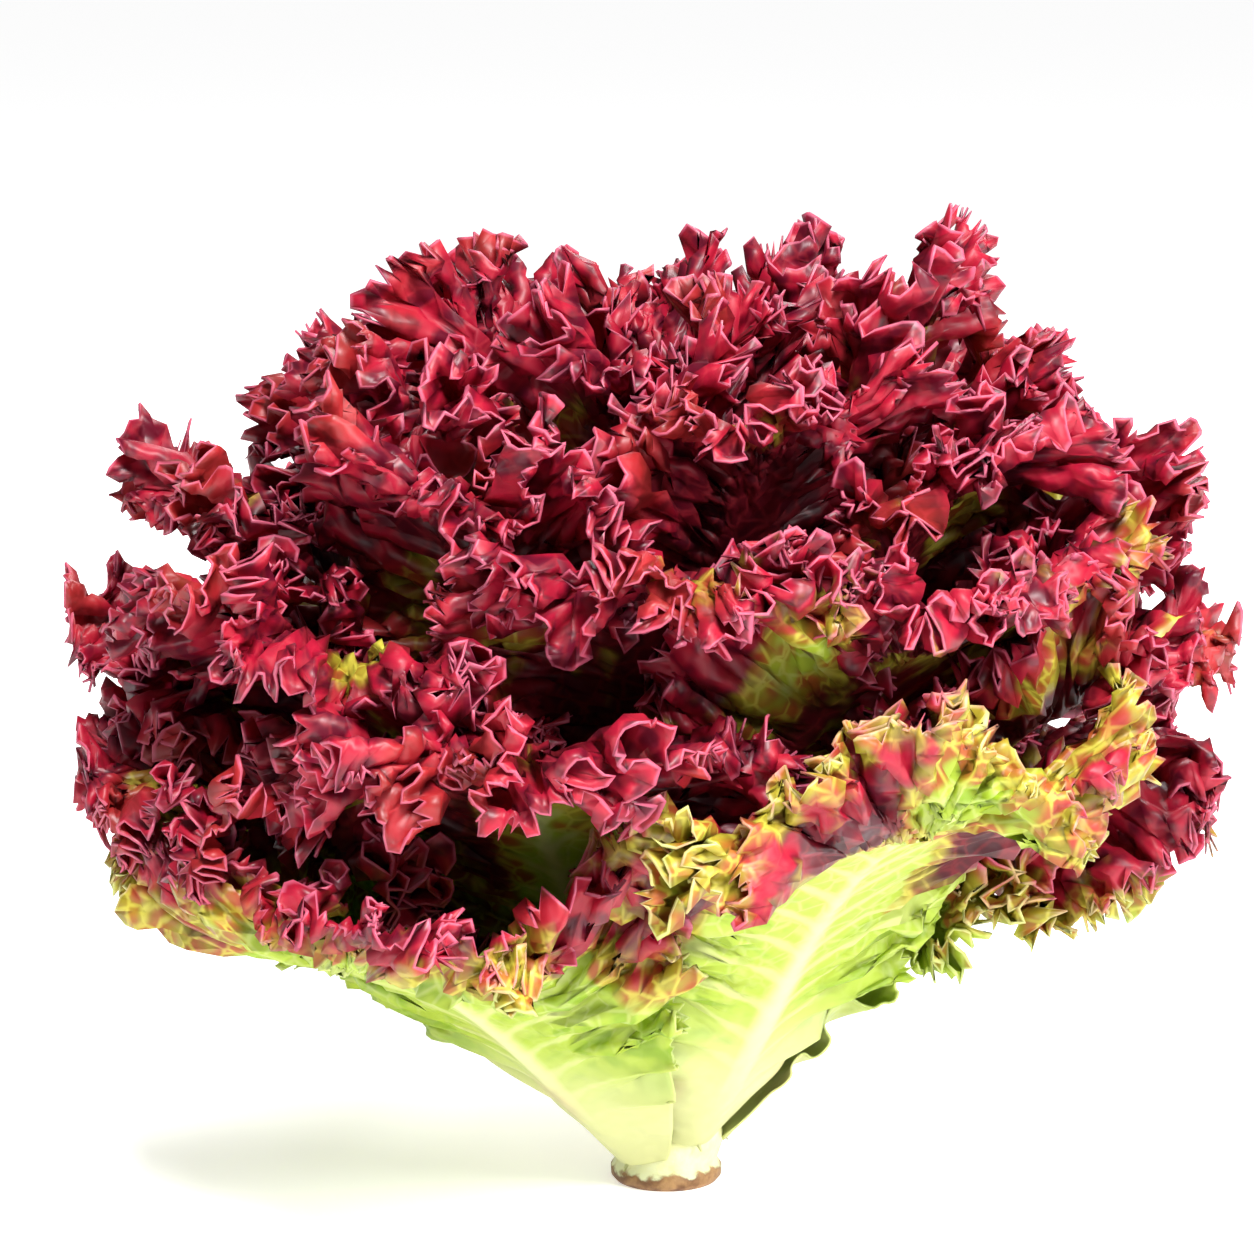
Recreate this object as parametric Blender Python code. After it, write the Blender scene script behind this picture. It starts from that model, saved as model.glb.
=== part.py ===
"""A head of red leaf lettuce with frilled leaves, standing on its cut butt.

Run with: blender --background --python part.py
Lengths are in metres, +Z is up, and the front of the head faces -Y.
The origin is the middle of the flat cut face that the head stands on.

Every leaf lies in one family of nested curves that fan out from the stem: splay 0 is the
upright heart and splay 1 the outermost leaf. The spiral sets a leaf's neighbours five steps
of splay away outside its right side and inside its left side, and three steps away on the
other two, so each leaf is turned a little outwards on its right side and waves by less than
two steps. The leaves then lie close and never cross.
"""

import math

import bpy
import numpy as np

# The stem: height and radius of its turned side, from the cut face to the growing tip.
STEM_OUTLINE = (
    (0.0000, 0.0125),
    (0.0012, 0.0135),
    (0.0032, 0.0136),
    (0.0050, 0.0124),
    (0.0100, 0.0140),
    (0.0300, 0.0118),
    (0.0700, 0.0050),
    (0.0790, 0.0030),
    (0.0810, 0.0000),
)
STEM_SIDES = 24

# The dome that the leaf tips reach, an oval about the stem's axis, squarer than an ellipse.
DOME_RADIUS = 0.138
DOME_RISE = 0.123
DOME_CENTRE_HEIGHT = 0.106
DOME_ROUNDNESS = 0.87

# A middle line's ends, each as (heart, outermost leaf).
ROOT_HEIGHT = (0.068, 0.008)
TIP_FROM_TOP = (math.radians(2), math.radians(98))
ANGLE_AT_ROOT = (math.radians(4), math.radians(50))
ANGLE_AT_TIP = (math.radians(10), math.radians(90))
BEND = 0.36

# The leaves, counted from the outermost inwards.
LEAF_COUNT = 35
LEAST_SPLAY = 0.055
SPLAY_STEP = (1 - LEAST_SPLAY) / LEAF_COUNT
TURN_PER_LEAF = math.radians(137.508)
FIRST_LEAF_TURN = math.radians(-128)
NUDGED_TURN = {1: math.radians(16), 3: math.radians(16)}

# One leaf, each size as (heart, outermost leaf).
FAN_LIMIT = (math.radians(35), math.radians(42))
FAN_SQUARENESS = 4
HALF_WIDTH = (0.044, 0.108)
ROOT_HALF_WIDTH = (0.004, 0.012)
RIB_THICKNESS = (0.0009, 0.0042)
RIB_HALF_WIDTH = (0.0025, 0.0065)
RIB_TIP_SHARE = 0.25
RIB_TAPER = 0.7
RIB_OUTSIDE = 0.75
BLADE_THICKNESS = 0.0008
THINNEST_FOLD = 0.45
LENGTH_SPREAD = 0.05
HEART_DIP = 0.07
HEART_SPLAY = 0.22
JOINT_GAP = 0.0005

# Half of a leaf's outline: handles of its curve, as shares of the width and of the length.
SIDE_HANDLES = (1.10, 1.34)
ALONG_HANDLES = (0.26, 1.03)
OUTLINE_SAMPLES = 401

# Side veins rise from the midrib to the margin, and near the tip they fan out from it.
VEIN_SLANT = 0.55
VEIN_CROWN = 0.14

# The waved margin, its depth in steps of splay, and its wave counts along one half.
FRILL_STEPS = 1.45
STEEPEST_FOLD = 0.9
FRILL_LEAST = 0.75
SWELL_STEPS = 0.25
SWELLS_PER_HALF = 2.5
CURL_STEPS = 0.25
TILT_STEPS = 0.5
TILT_WITHIN = math.radians(10)
LOBE_REACH = 0.04
LOBES_PER_HALF = 4.5
TOOTH = 0.06
TOOTH_LEAST = 0.3
WAVE_START = 0.3
WAVE_GROWTH = 1.1
PLAIN_FOOT = 0.04
PLAIN_FADE = 0.3
FULL_WAVE_VEIN = 0.030

# The settled head leans left and hangs lower on that side.
LEAN = -0.004
LEFT_DROOP = math.radians(6)
LEAN_HEIGHT = 0.110

# Rows of a blade from the middle line to the margin: share of the way, segments per half.
OUTER_ROWS = ((0.0, 6), (0.18, 6), (0.44, 12), (0.70, 24), (1.0, 24))
MIDDLE_ROWS = ((0.0, 5), (0.18, 5), (0.44, 10), (0.70, 20), (1.0, 20))
HEART_ROWS = ((0.0, 7), (0.30, 7), (0.65, 14), (1.0, 14))
OUTER_LEAVES = 12
HEART_LEAVES = 10

# Faces past these shares of the blade and of the head's height are red.
RED_SHARE = 0.5
RED_HEIGHT = 0.075

SEED = 7


def mix(ends, share):
    """The value a share of the way between two ends."""
    return ends[0] + (ends[1] - ends[0]) * share


def smooth(share):
    """A share from 0 to 1, eased at both ends."""
    share = np.clip(share, 0.0, 1.0)
    return share * share * (3 - 2 * share)


def cubic(points, share):
    """A cubic Bezier curve from its first value to its last."""
    back = 1 - share
    first, second, third, last = points
    return (
        back**3 * first
        + 3 * back**2 * share * second
        + 3 * back * share**2 * third
        + share**3 * last
    )


def stem_radius(height):
    heights, radii = zip(*STEM_OUTLINE)
    return np.interp(height, heights, radii)


def middle_line(splay, along):
    """Radius and height of the middle line of a leaf at this splay, a share along it."""
    root_height = mix(ROOT_HEIGHT, splay)
    root_radius = stem_radius(root_height) + JOINT_GAP
    from_top = mix(TIP_FROM_TOP, splay)
    out, up = np.sin(from_top), np.cos(from_top)
    tip_radius = DOME_RADIUS * np.abs(out) ** DOME_ROUNDNESS
    tip_height = DOME_CENTRE_HEIGHT + DOME_RISE * np.sign(up) * np.abs(up) ** DOME_ROUNDNESS
    handle = BEND * np.hypot(tip_radius - root_radius, tip_height - root_height)
    rise, arch = mix(ANGLE_AT_ROOT, splay), mix(ANGLE_AT_TIP, splay)
    radii = (
        root_radius,
        root_radius + handle * np.sin(rise),
        tip_radius - handle * np.sin(arch),
        tip_radius,
    )
    heights = (
        root_height,
        root_height + handle * np.cos(rise),
        tip_height - handle * np.cos(arch),
        tip_height,
    )
    return cubic(radii, along), cubic(heights, along)


def settle(points):
    """The lean and droop of the whole head, which leave the stem's foot where it is."""
    x, y, z = points.T
    share = smooth(z / LEAN_HEIGHT)
    return np.stack((x + LEAN * share, y, z + math.tan(LEFT_DROOP) * x * share), axis=1)


class Leaf:
    """One leaf's place and size, from its number in the spiral, and its waved surface."""

    def __init__(self, number, draw):
        self.splay = 1 - (number + 0.5) * SPLAY_STEP
        self.azimuth = FIRST_LEAF_TURN + number * TURN_PER_LEAF + NUDGED_TURN.get(number, 0.0)
        dip = HEART_DIP * (1 - smooth(self.splay / HEART_SPLAY))
        self.reach = (1 + draw.uniform(-1, 1) * LENGTH_SPREAD) * (1 - dip)
        self.swell_phase = draw.uniform(0, 2 * math.pi)
        self.lobe_phase = draw.uniform(0, 2 * math.pi)
        if number < OUTER_LEAVES:
            self.rows = OUTER_ROWS
        elif number < LEAF_COUNT - HEART_LEAVES:
            self.rows = MIDDLE_ROWS
        else:
            self.rows = HEART_ROWS
        margin_points = 2 * self.rows[-1][1] + 1
        self.frill = draw.uniform(FRILL_LEAST, 1.0, margin_points)
        self.tooth = draw.uniform(TOOTH_LEAST, 1.0, margin_points)
        self.lay_out_margin()

    def lay_out_margin(self):
        """Half a margin in many small steps: its course, its side veins and its depth of fold."""
        self.places = np.linspace(0, 1, OUTLINE_SAMPLES)
        root, width = mix(ROOT_HALF_WIDTH, self.splay), mix(HALF_WIDTH, self.splay)
        near, far = SIDE_HANDLES
        sides = cubic((root, near * width, far * width, 0.0), self.places)
        self.alongs = cubic((0.0, *ALONG_HANDLES, 1.0), self.places) * self.reach
        radius, _ = middle_line(self.splay, self.alongs)
        turns = sides / radius
        limit = mix(FAN_LIMIT, self.splay)
        self.turns = turns / (1 + (turns / limit) ** FAN_SQUARENESS) ** (1 / FAN_SQUARENESS)
        line = self.surface(0 * self.places, self.places, self.splay)
        length = np.linalg.norm(np.diff(line, axis=0), axis=1).sum()
        rise = VEIN_SLANT * self.turns * radius / length
        self.feet = np.maximum(self.alongs - rise, 0.0) * (1 - VEIN_CROWN * self.places**2)

        margin = self.surface(self.turns, self.alongs, self.splay)
        veins = margin - self.surface(0 * self.turns, self.feet, self.splay)
        vein_lengths = np.linalg.norm(veins, axis=1)
        steps = np.diff(margin, axis=0)
        step_lengths = np.linalg.norm(steps, axis=1)
        self.run = np.concatenate(([0.0], np.cumsum(step_lengths)))
        self.room = np.clip(vein_lengths / FULL_WAVE_VEIN, 0, 1)

        # A fold may be no deeper than its columns are apart, so its two walls stay clear.
        ahead = steps / step_lengths[:, None]
        beside = np.linalg.norm(np.cross(ahead, veins[1:]), axis=1) / vein_lengths[1:]
        apart = beside * self.run[-1] / self.rows[-1][1]
        outside = self.surface(self.turns, self.alongs, self.splay + SPLAY_STEP)
        step_depth = np.linalg.norm(outside - margin, axis=1)[1:]
        deepest = np.minimum(FRILL_STEPS, STEEPEST_FOLD * apart / step_depth)
        self.deepest = np.concatenate((deepest[:1], deepest))

    def surface(self, turn, along, splay):
        """World points at a turn from the midrib and share along, waved to their own splay."""
        radius, height = middle_line(np.maximum(splay, 0.0), along)
        angle = self.azimuth + turn
        return np.stack((radius * np.cos(angle), radius * np.sin(angle), height), axis=-1)

    def row(self, share, segments):
        """Turn, share along and splay of one row, from the left root to the right."""
        place = np.interp(np.linspace(0, self.run[-1], segments + 1), self.run, self.places)
        # Both halves share the tip, and the left half runs up to it.
        place = np.concatenate((place, place[-2::-1]))
        hand = np.concatenate((-np.ones(segments), [0.0], np.ones(segments)))
        turn = np.interp(place, self.places, self.turns) * share * hand
        foot = np.interp(place, self.places, self.feet)
        along = foot + (np.interp(place, self.places, self.alongs) - foot) * share
        grown = np.clip((share - WAVE_START) / (1 - WAVE_START), 0, 1) ** WAVE_GROWTH
        grown = grown * smooth((place - PLAIN_FOOT) / PLAIN_FADE)
        grown = grown * np.interp(place, self.places, self.room)
        round_leaf = 2 * math.pi * place * hand
        swell = np.cos(SWELLS_PER_HALF * round_leaf + self.swell_phase)
        lobe = np.cos(LOBES_PER_HALF * round_leaf + self.lobe_phase)
        tilt = np.clip(turn / TILT_WITHIN, -1, 1)
        wave = SWELL_STEPS * swell + CURL_STEPS + TILT_STEPS * tilt
        if len(place) == len(self.frill):
            # Only the rows as dense as the margin carry its zigzag.
            crest = np.where(np.arange(len(place)) % 2 == 0, 1.0, -1.0)
            wave = wave + np.interp(place, self.places, self.deepest) * crest * self.frill
            turn = turn * np.where(crest > 0, 1.0, 1 - TOOTH * self.tooth * grown)
        along = along * (1 + LOBE_REACH * lobe * grown)
        return turn, along, self.splay + SPLAY_STEP * wave * grown

    def rib(self, turn, along):
        """How much thicker than the blade the midrib makes the leaf there."""
        radius, _ = middle_line(self.splay, along)
        fade = np.clip(1 - along, 0, 1)
        width = mix(RIB_HALF_WIDTH, self.splay) * mix((RIB_TIP_SHARE, 1.0), fade)
        thickness = (mix(RIB_THICKNESS, self.splay) - BLADE_THICKNESS) * fade**RIB_TAPER
        return thickness * np.exp(-((turn * radius / width) ** 2))


def strip(inner, outer):
    """Triangles between two rows, where the outer has as many segments or twice as many."""
    faces = []
    for k in range(len(inner) - 1):
        a, b = inner[k], inner[k + 1]
        if len(outer) == len(inner):
            c, d = outer[k], outer[k + 1]
            faces += [(a, d, c), (a, b, d)] if k % 2 else [(a, b, c), (b, d, c)]
        else:
            c, d, e = outer[2 * k : 2 * k + 3]
            faces += [(a, d, c), (a, b, d), (b, e, d)]
    return [face for face in faces if len(set(face)) == 3]


def blade_grid(leaf):
    """A leaf's middle surface: points, rib thickness, triangles and the loop round its edge.

    A triangle comes with the share of the way to the margin at which it lies.
    """
    points, ribs, index = [], [], []
    count = 0
    for share, segments in leaf.rows:
        turn, along, splay = leaf.row(share, segments)
        if share == 0:
            # The middle line is one line, which both halves share.
            half = slice(segments + 1)
            turn, along, splay = turn[half] * 0, along[half], splay[half]
            back = np.arange(segments - 1, -1, -1)
            numbers = np.concatenate((np.arange(segments + 1), back))
        else:
            numbers = np.arange(2 * segments + 1)
        points.append(leaf.surface(turn, along, splay))
        ribs.append(leaf.rib(turn, along))
        index.append(numbers + count)
        count += len(turn)
    triangles, shares = [], []
    for place, (inner, outer) in enumerate(zip(index, index[1:])):
        band = strip(inner, outer)
        triangles += band
        shares += [leaf.rows[place + 1][0]] * len(band)
    right = [row[-1] for row in index[1:]]
    loop = list(index[-1]) + right[-2::-1] + [index[0][0]] + [row[0] for row in index[1:-1]]
    return np.concatenate(points), np.concatenate(ribs), triangles, shares, loop


def vertex_normals(points, triangles):
    """Mean normals, lengthened so that walls on a fold keep their thickness."""
    faces = np.array(triangles)
    corners = points[faces]
    flat = np.cross(corners[:, 1] - corners[:, 0], corners[:, 2] - corners[:, 0])
    flat /= np.linalg.norm(flat, axis=1, keepdims=True)
    total = np.zeros_like(points)
    for corner in range(3):
        np.add.at(total, faces[:, corner], flat)
    total /= np.linalg.norm(total, axis=1, keepdims=True)
    least = np.ones(len(points))
    for corner in range(3):
        facing = np.einsum("ij,ij->i", total[faces[:, corner]], flat)
        np.minimum.at(least, faces[:, corner], facing)
    return total / np.clip(least, THINNEST_FOLD, 1.0)[:, None]


def keep_off_stem(points):
    """Points moved out to clear the stem's side."""
    radius = np.hypot(points[:, 0], points[:, 1])
    least = stem_radius(points[:, 2]) + JOINT_GAP
    grow = np.maximum(1.0, least / np.maximum(radius, JOINT_GAP))
    return points * np.stack((grow, grow, np.ones(len(grow))), axis=1)


def enclosed_volume(points, faces):
    a, b, c = (points[faces[:, corner]] for corner in range(3))
    return np.einsum("ij,ij->i", a, np.cross(b, c)).sum() / 6


def leaf_solid(leaf):
    """Points, triangles and red faces of a leaf closed at its faces, margin and root."""
    middle, ribs, triangles, shares, loop = blade_grid(leaf)
    outward = vertex_normals(middle, triangles)
    away = np.array((math.cos(leaf.azimuth), math.sin(leaf.azimuth), 0.0))
    if outward[0] @ away < 0:
        outward = -outward
    half = BLADE_THICKNESS / 2
    outer = middle + outward * (half + RIB_OUTSIDE * ribs)[:, None]
    inner = middle - outward * (half + (1 - RIB_OUTSIDE) * ribs)[:, None]
    points = keep_off_stem(np.concatenate((outer, inner)))
    count = len(middle)
    faces = triangles + [(c + count, b + count, a + count) for a, b, c in triangles]
    shares = shares + shares
    for here, there in zip(loop, loop[1:] + loop[:1]):
        faces += [(here, there, here + count), (there, there + count, here + count)]
        shares += [1.0, 1.0]
    faces = np.array(faces)
    if enclosed_volume(points, faces) < 0:
        faces = faces[:, ::-1]
    points = settle(points)
    high = points[faces][:, :, 2].mean(axis=1) > RED_HEIGHT
    return points, faces, high & (np.array(shares) > RED_SHARE)


def material(name, colour, roughness):
    made = bpy.data.materials.new(name)
    made.use_nodes = True
    shader = made.node_tree.nodes["Principled BSDF"]
    shader.inputs["Base Color"].default_value = (*colour, 1.0)
    shader.inputs["Roughness"].default_value = roughness
    shader.inputs["Metallic"].default_value = 0.0
    return made


def add_object(name, points, faces, place, parent):
    """A mesh object at its own place under the head's empty, from points in the world."""
    mesh = bpy.data.meshes.new(name)
    mesh.from_pydata((points - place).tolist(), [], faces)
    mesh.update()
    made = bpy.data.objects.new(name, mesh)
    made.location = place
    made.parent = parent
    bpy.context.scene.collection.objects.link(made)
    return made


def add_stem(parent):
    """The turned stem: a flat cut face, the stub below the leaves and the tip inside them."""
    points, faces = [], []
    for height, radius in STEM_OUTLINE[:-1]:
        for side in range(STEM_SIDES):
            angle = 2 * math.pi * side / STEM_SIDES
            points.append((radius * math.cos(angle), radius * math.sin(angle), height))
    for ring in range(len(STEM_OUTLINE) - 2):
        for side in range(STEM_SIDES):
            here = ring * STEM_SIDES + side
            there = ring * STEM_SIDES + (side + 1) % STEM_SIDES
            faces.append((here, there, there + STEM_SIDES, here + STEM_SIDES))
    top = len(points)
    points.append((0.0, 0.0, STEM_OUTLINE[-1][0]))
    last = top - STEM_SIDES
    for side in range(STEM_SIDES):
        faces.append((last + side, last + (side + 1) % STEM_SIDES, top))
    faces.append(tuple(range(STEM_SIDES))[::-1])
    made = add_object("stem", settle(np.array(points)), faces, np.zeros(3), parent)
    made.data.shade_smooth()
    made.data.set_sharp_from_angle(angle=math.radians(30))
    return made


def main():
    for old in list(bpy.data.objects):
        bpy.data.objects.remove(old, do_unlink=True)
    head = bpy.data.objects.new("head", None)
    bpy.context.scene.collection.objects.link(head)
    stem = add_stem(head)
    stem.data.materials.append(material("cut_stem", (0.78, 0.80, 0.55), 0.5))
    green = material("rib_green", (0.62, 0.76, 0.30), 0.45)
    red = material("frill_red", (0.28, 0.02, 0.05), 0.35)
    draw = np.random.default_rng(SEED)
    for number in range(LEAF_COUNT):
        leaf = Leaf(number, draw)
        points, faces, is_red = leaf_solid(leaf)
        root = leaf.surface(np.zeros(1), np.zeros(1), np.array([leaf.splay]))
        name = f"leaf_{number + 1:02d}"
        made = add_object(name, points, faces.tolist(), settle(root)[0], head)
        made.data.materials.append(green)
        made.data.materials.append(red)
        made.data.polygons.foreach_set("material_index", is_red.astype(np.int32))


main()
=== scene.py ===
"""The looks of a head of red leaf lettuce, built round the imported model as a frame.

Lengths are in metres, in the model's own frame: +Z is up and the head's front faces -Y.
Each fine leaf follows the same curves as the plain leaf that it replaces. Its margin rolls,
ends in small teeth and carries three orders of waves: the folds of the plain leaf, ruffles
on the folds, and cups on those.
"""

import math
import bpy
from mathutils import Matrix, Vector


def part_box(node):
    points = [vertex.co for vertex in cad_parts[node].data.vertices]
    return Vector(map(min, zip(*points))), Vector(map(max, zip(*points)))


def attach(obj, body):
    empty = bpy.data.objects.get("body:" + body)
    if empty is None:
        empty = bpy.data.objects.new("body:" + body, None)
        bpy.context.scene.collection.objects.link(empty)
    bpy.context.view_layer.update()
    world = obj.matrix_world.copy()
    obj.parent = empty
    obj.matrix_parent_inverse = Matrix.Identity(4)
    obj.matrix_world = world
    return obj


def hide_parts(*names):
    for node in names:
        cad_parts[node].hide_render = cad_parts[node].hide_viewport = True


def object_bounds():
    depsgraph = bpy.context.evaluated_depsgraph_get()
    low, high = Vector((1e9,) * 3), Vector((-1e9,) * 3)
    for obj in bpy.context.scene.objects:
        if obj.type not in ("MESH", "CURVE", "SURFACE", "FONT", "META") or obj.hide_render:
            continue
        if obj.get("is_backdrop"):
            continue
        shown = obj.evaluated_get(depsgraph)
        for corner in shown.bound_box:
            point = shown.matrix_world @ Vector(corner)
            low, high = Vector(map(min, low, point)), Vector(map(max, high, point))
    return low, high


bl_info = {
    "name": "Red Leaf Lettuce",
    "version": (1, 0, 0),
    "blender": (4, 5, 0),
    "location": "View3D > Sidebar > Lettuce",
    "description": "Dresses a head of red leaf lettuce with frilled leaves, a cut stem and a stage",
    "category": "Add Mesh",
}

import bpy
import numpy as np

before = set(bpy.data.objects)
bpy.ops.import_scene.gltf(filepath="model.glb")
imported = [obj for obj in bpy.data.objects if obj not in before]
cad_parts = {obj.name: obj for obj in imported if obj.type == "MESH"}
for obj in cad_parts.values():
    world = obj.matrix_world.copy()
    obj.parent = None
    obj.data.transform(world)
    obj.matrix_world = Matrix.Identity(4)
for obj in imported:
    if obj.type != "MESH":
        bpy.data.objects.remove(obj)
CAD_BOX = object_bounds()

# The stem: height and radius of its turned side, from the cut face to the growing tip.
STEM_OUTLINE = (
    (0.0000, 0.0125),
    (0.0012, 0.0135),
    (0.0032, 0.0136),
    (0.0050, 0.0124),
    (0.0100, 0.0140),
    (0.0300, 0.0118),
    (0.0700, 0.0050),
    (0.0790, 0.0030),
    (0.0810, 0.0000),
)
STEM_SIDES = 96

# The dome that the leaf tips reach.
DOME_RADIUS = 0.138
DOME_RISE = 0.123
DOME_CENTRE_HEIGHT = 0.106
DOME_ROUNDNESS = 0.87

# A middle line's ends, each as (heart, outermost leaf).
ROOT_HEIGHT = (0.068, 0.008)
TIP_FROM_TOP = (math.radians(2), math.radians(98))
ANGLE_AT_ROOT = (math.radians(4), math.radians(50))
ANGLE_AT_TIP = (math.radians(10), math.radians(90))
BEND = 0.36

# The leaves, counted from the outermost inwards.
LEAF_COUNT = 35
LEAST_SPLAY = 0.055
SPLAY_STEP = (1 - LEAST_SPLAY) / LEAF_COUNT
TURN_PER_LEAF = math.radians(137.508)
FIRST_LEAF_TURN = math.radians(-128)
NUDGED_TURN = {1: math.radians(16), 3: math.radians(16)}
OUTER_LEAVES = 12
HEART_LEAVES = 10

# One leaf, each size as (heart, outermost leaf).
FAN_LIMIT = (math.radians(35), math.radians(42))
FAN_SQUARENESS = 4
HALF_WIDTH = (0.044, 0.108)
ROOT_HALF_WIDTH = (0.004, 0.012)
RIB_THICKNESS = (0.0009, 0.0042)
RIB_HALF_WIDTH = (0.0025, 0.0065)
RIB_TIP_SHARE = 0.25
RIB_TAPER = 0.7
RIB_OUTSIDE = 0.75
BLADE_THICKNESS = 0.0008
LENGTH_SPREAD = 0.05
HEART_DIP = 0.07
HEART_SPLAY = 0.22
SIDE_HANDLES = (1.10, 1.34)
ALONG_HANDLES = (0.26, 1.03)
OUTLINE_SAMPLES = 1601
VEIN_SLANT = 0.55
VEIN_CROWN = 0.14

# The folds of the plain leaf, in steps of splay, and the wave counts along half a margin.
FRILL_STEPS = 1.45
STEEPEST_FOLD = 0.9
FRILL_LEAST = 0.75
SWELL_STEPS = 0.25
SWELLS_PER_HALF = 2.5
CURL_STEPS = 0.25
TILT_STEPS = 0.5
TILT_WITHIN = math.radians(10)
LOBE_REACH = 0.04
LOBES_PER_HALF = 4.5
TOOTH = 0.06
TOOTH_LEAST = 0.3
WAVE_START = 0.3
WAVE_GROWTH = 1.1
PLAIN_FOOT = 0.04
PLAIN_FADE = 0.3
FULL_WAVE_VEIN = 0.030
FOLDS_PER_HALF = (14, 20, 24)
SEED = 7

# The settled head leans left and hangs lower on that side.
LEAN = -0.004
LEFT_DROOP = math.radians(6)
LEAN_HEIGHT = 0.110

# Columns of the fine mesh along half a margin, for heart, middle and outer leaves.
HALF_COLUMNS = (480, 672, 728)
# Rows of the fine mesh: distance from the margin, and how many columns one step spans.
MARGIN_ROWS = (
    (0.0000, 1),
    (0.0021, 1),
    (0.0045, 2),
    (0.0074, 2),
    (0.0110, 2),
    (0.0155, 4),
    (0.0210, 4),
    (0.0280, 4),
)
# Rows further in: share of the way from the midrib to the last of those.
INNER_SHARES = (0.82, 0.64, 0.47, 0.32, 0.20, 0.11, 0.05, 0.0)
INNER_COLUMN_STEP = (8, 8, 4)
LEAST_MARGIN_SHARE = 0.25

# Distance from the root at which quilting and side veins begin, and over which they grow.
QUILT_FOOT = 0.045
QUILT_FADE = 0.045
# Share of a vein gap, and of the way from the midrib, over which the quilting rises.
QUILT_RISE = 0.35
QUILT_FROM_RIB = 0.2
# Distance from the margin, and share of the way from the midrib, that vein ridges rise over.
RIDGE_FROM_MARGIN = 0.02
RIDGE_FROM_RIB = 0.15
# How close side veins lie at the midrib, as a share of their gap at the margin.
GAP_AT_RIB = 0.25
# Share of the way up a leaf at which its margin starts to roll, and over which that grows.
ROLL_START = 0.35
ROLL_FADE = 0.3
# How the roll, the ruffles and the cups grow towards the margin, as powers.
ROLL_GROWTH = 0.8
RUFFLE_GROWTH = 0.8
CUP_GROWTH = 1.3
# Share of the way round half a margin at which ruffles start, and over which they grow.
RUFFLE_START = 0.06
RUFFLE_FADE = 0.28
# Distance from the root at which ruffles start, and over which they grow.
RUFFLE_FOOT = 0.036
RUFFLE_RISE = 0.055
# Share of the settings' roll that a leaf has, as (heart, outermost leaf).
ROLL_SHARE = (0.35, 1.0)
# Past this distance from the axis, a fine leaf is drawn back by a share of what is over.
HOLD_RADIUS = 0.132
HOLD_SHARE = 0.5
# Columns further apart than this are drawn together, by a share of the way in each pass.
WIDEST_GAP = 0.0035
GAP_PULL = 0.7
GAP_PASSES = 8
# Passes that even out the normals which ruffles and cups follow.
NORMAL_PASSES = 3
# Small teeth: their length, and how far notches go in and tips go out, as a share of the
# way between the margin and the row behind it.
TOOTH_LENGTH = 0.0030
NOTCH_SHARE = (0.55, 0.85)
TIP_SHARE = 0.25

# Wave lengths of the random drifts along a margin: in folds for the folds themselves, in
# halves of a margin for clumps, reach and roll.
FOLD_DRIFT = (3.7, 6.3, 9.1)
CLUMP_DRIFT = (0.31, 0.53, 0.87)
REACH_DRIFT = (0.17, 0.29, 0.47)
ROLL_DRIFT = (0.23, 0.41, 0.67)
# How far ruffles, cups and teeth wander, and over which lengths, in lengths of their own.
WAVE_WANDER = 0.5
WAVE_DRIFT = (3.1, 7.3)
SLANT_WANDER = 0.22
SLANTS = ((2.3, 1.9), (-3.4, 2.6))
TOOTH_WANDER = 0.6
TOOTH_DRIFT = (3.7, 7.7)
# The mean depth of ruffles and cups and its spread, as shares of the settings' depth.
DEPTH_SHARE = 0.8
DEPTH_SPREAD = 0.45
DEPTH_DRIFT = (2.3, 5.1)
# Lobes stand out of the margin where a ruffle stands further out than this.
LOBE_STAND = 0.5
# How far a wall may be thickened on a fold: 1 over this, at most.
LEAST_FACING = 0.6
# Columns that one step of the first inner row spans, at least.
LEAST_INNER_STEP = 4

# How much redder or greener single leaves are than the rest, by their number.
LEAF_TONE = {0: -0.35, 3: -0.55, 8: -0.1, 11: -0.4, 16: -0.1}
TONE_SPREAD = 0.22
# How much further single leaves roll outwards than the rest, in radians.
LEAF_ROLL = {0: -1.6, 3: -1.1, 5: -0.4, 6: -0.8, 8: -0.15, 11: -0.6, 16: 0.35}
PATCH_WAVES = 9
PATCH_LENGTH = 0.035
PATCH_SPREAD = (0.7, 1.6)
FINE_SEED = 23

# A leaf is red above a height that rises with the distance from its margin.
RED_HEIGHT = 0.064
RED_HEIGHT_SLOPE = 0.40
RED_HEIGHT_FADE = 0.026
# It is red to this distance from its margin at one height, and further in above that.
RED_REACH = 0.055
RED_REACH_HEIGHT = 0.10
RED_REACH_SLOPE = 0.8
RED_REACH_FADE = 0.022
REDDEST = 1.25
# Patches of colour: their limit and weight, and how they grow and fade from the margin.
PATCH_LIMIT = 1.2
PATCH_WEIGHT = 0.75
PATCH_AT_MARGIN = 0.25
PATCH_RISE = 0.020
PATCH_FADE_FROM = 0.034
PATCH_FADE_OVER = 0.018
PATCH_FADE_SHARE = 0.8

# Scales of the small patterns, and how far blisters and stem skin stand out.
MOTTLE_SCALE = 150.0
NET_SCALE = 170.0
GRAIN_SCALE = 260.0
BUMP_STRENGTH = 0.6
LEAF_BUMP = 0.0012
STEM_BUMP = 0.0008

# Each lamp's name, place, size and power in watts, and the point that they all face.
LAMPS = (
    ("key_light", (0.15, -1.1, 1.5), 0.5, 68.0),
    ("fill_light", (1.3, -1.0, 1.0), 0.6, 36.0),
    ("back_light", (0.3, 1.2, 1.5), 0.8, 24.0),
)
LAMP_AIM = (0.0, 0.0, 0.12)
FLOOR_SIDES = 128
# The floor's glow grows from grey near the head to white further away.
GLOW_DISTANCES = (0.1, 0.9)
NEAR_GREY = (0.7, 0.7, 0.7)
WHITE = (1.0, 1.0, 1.0)


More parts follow.
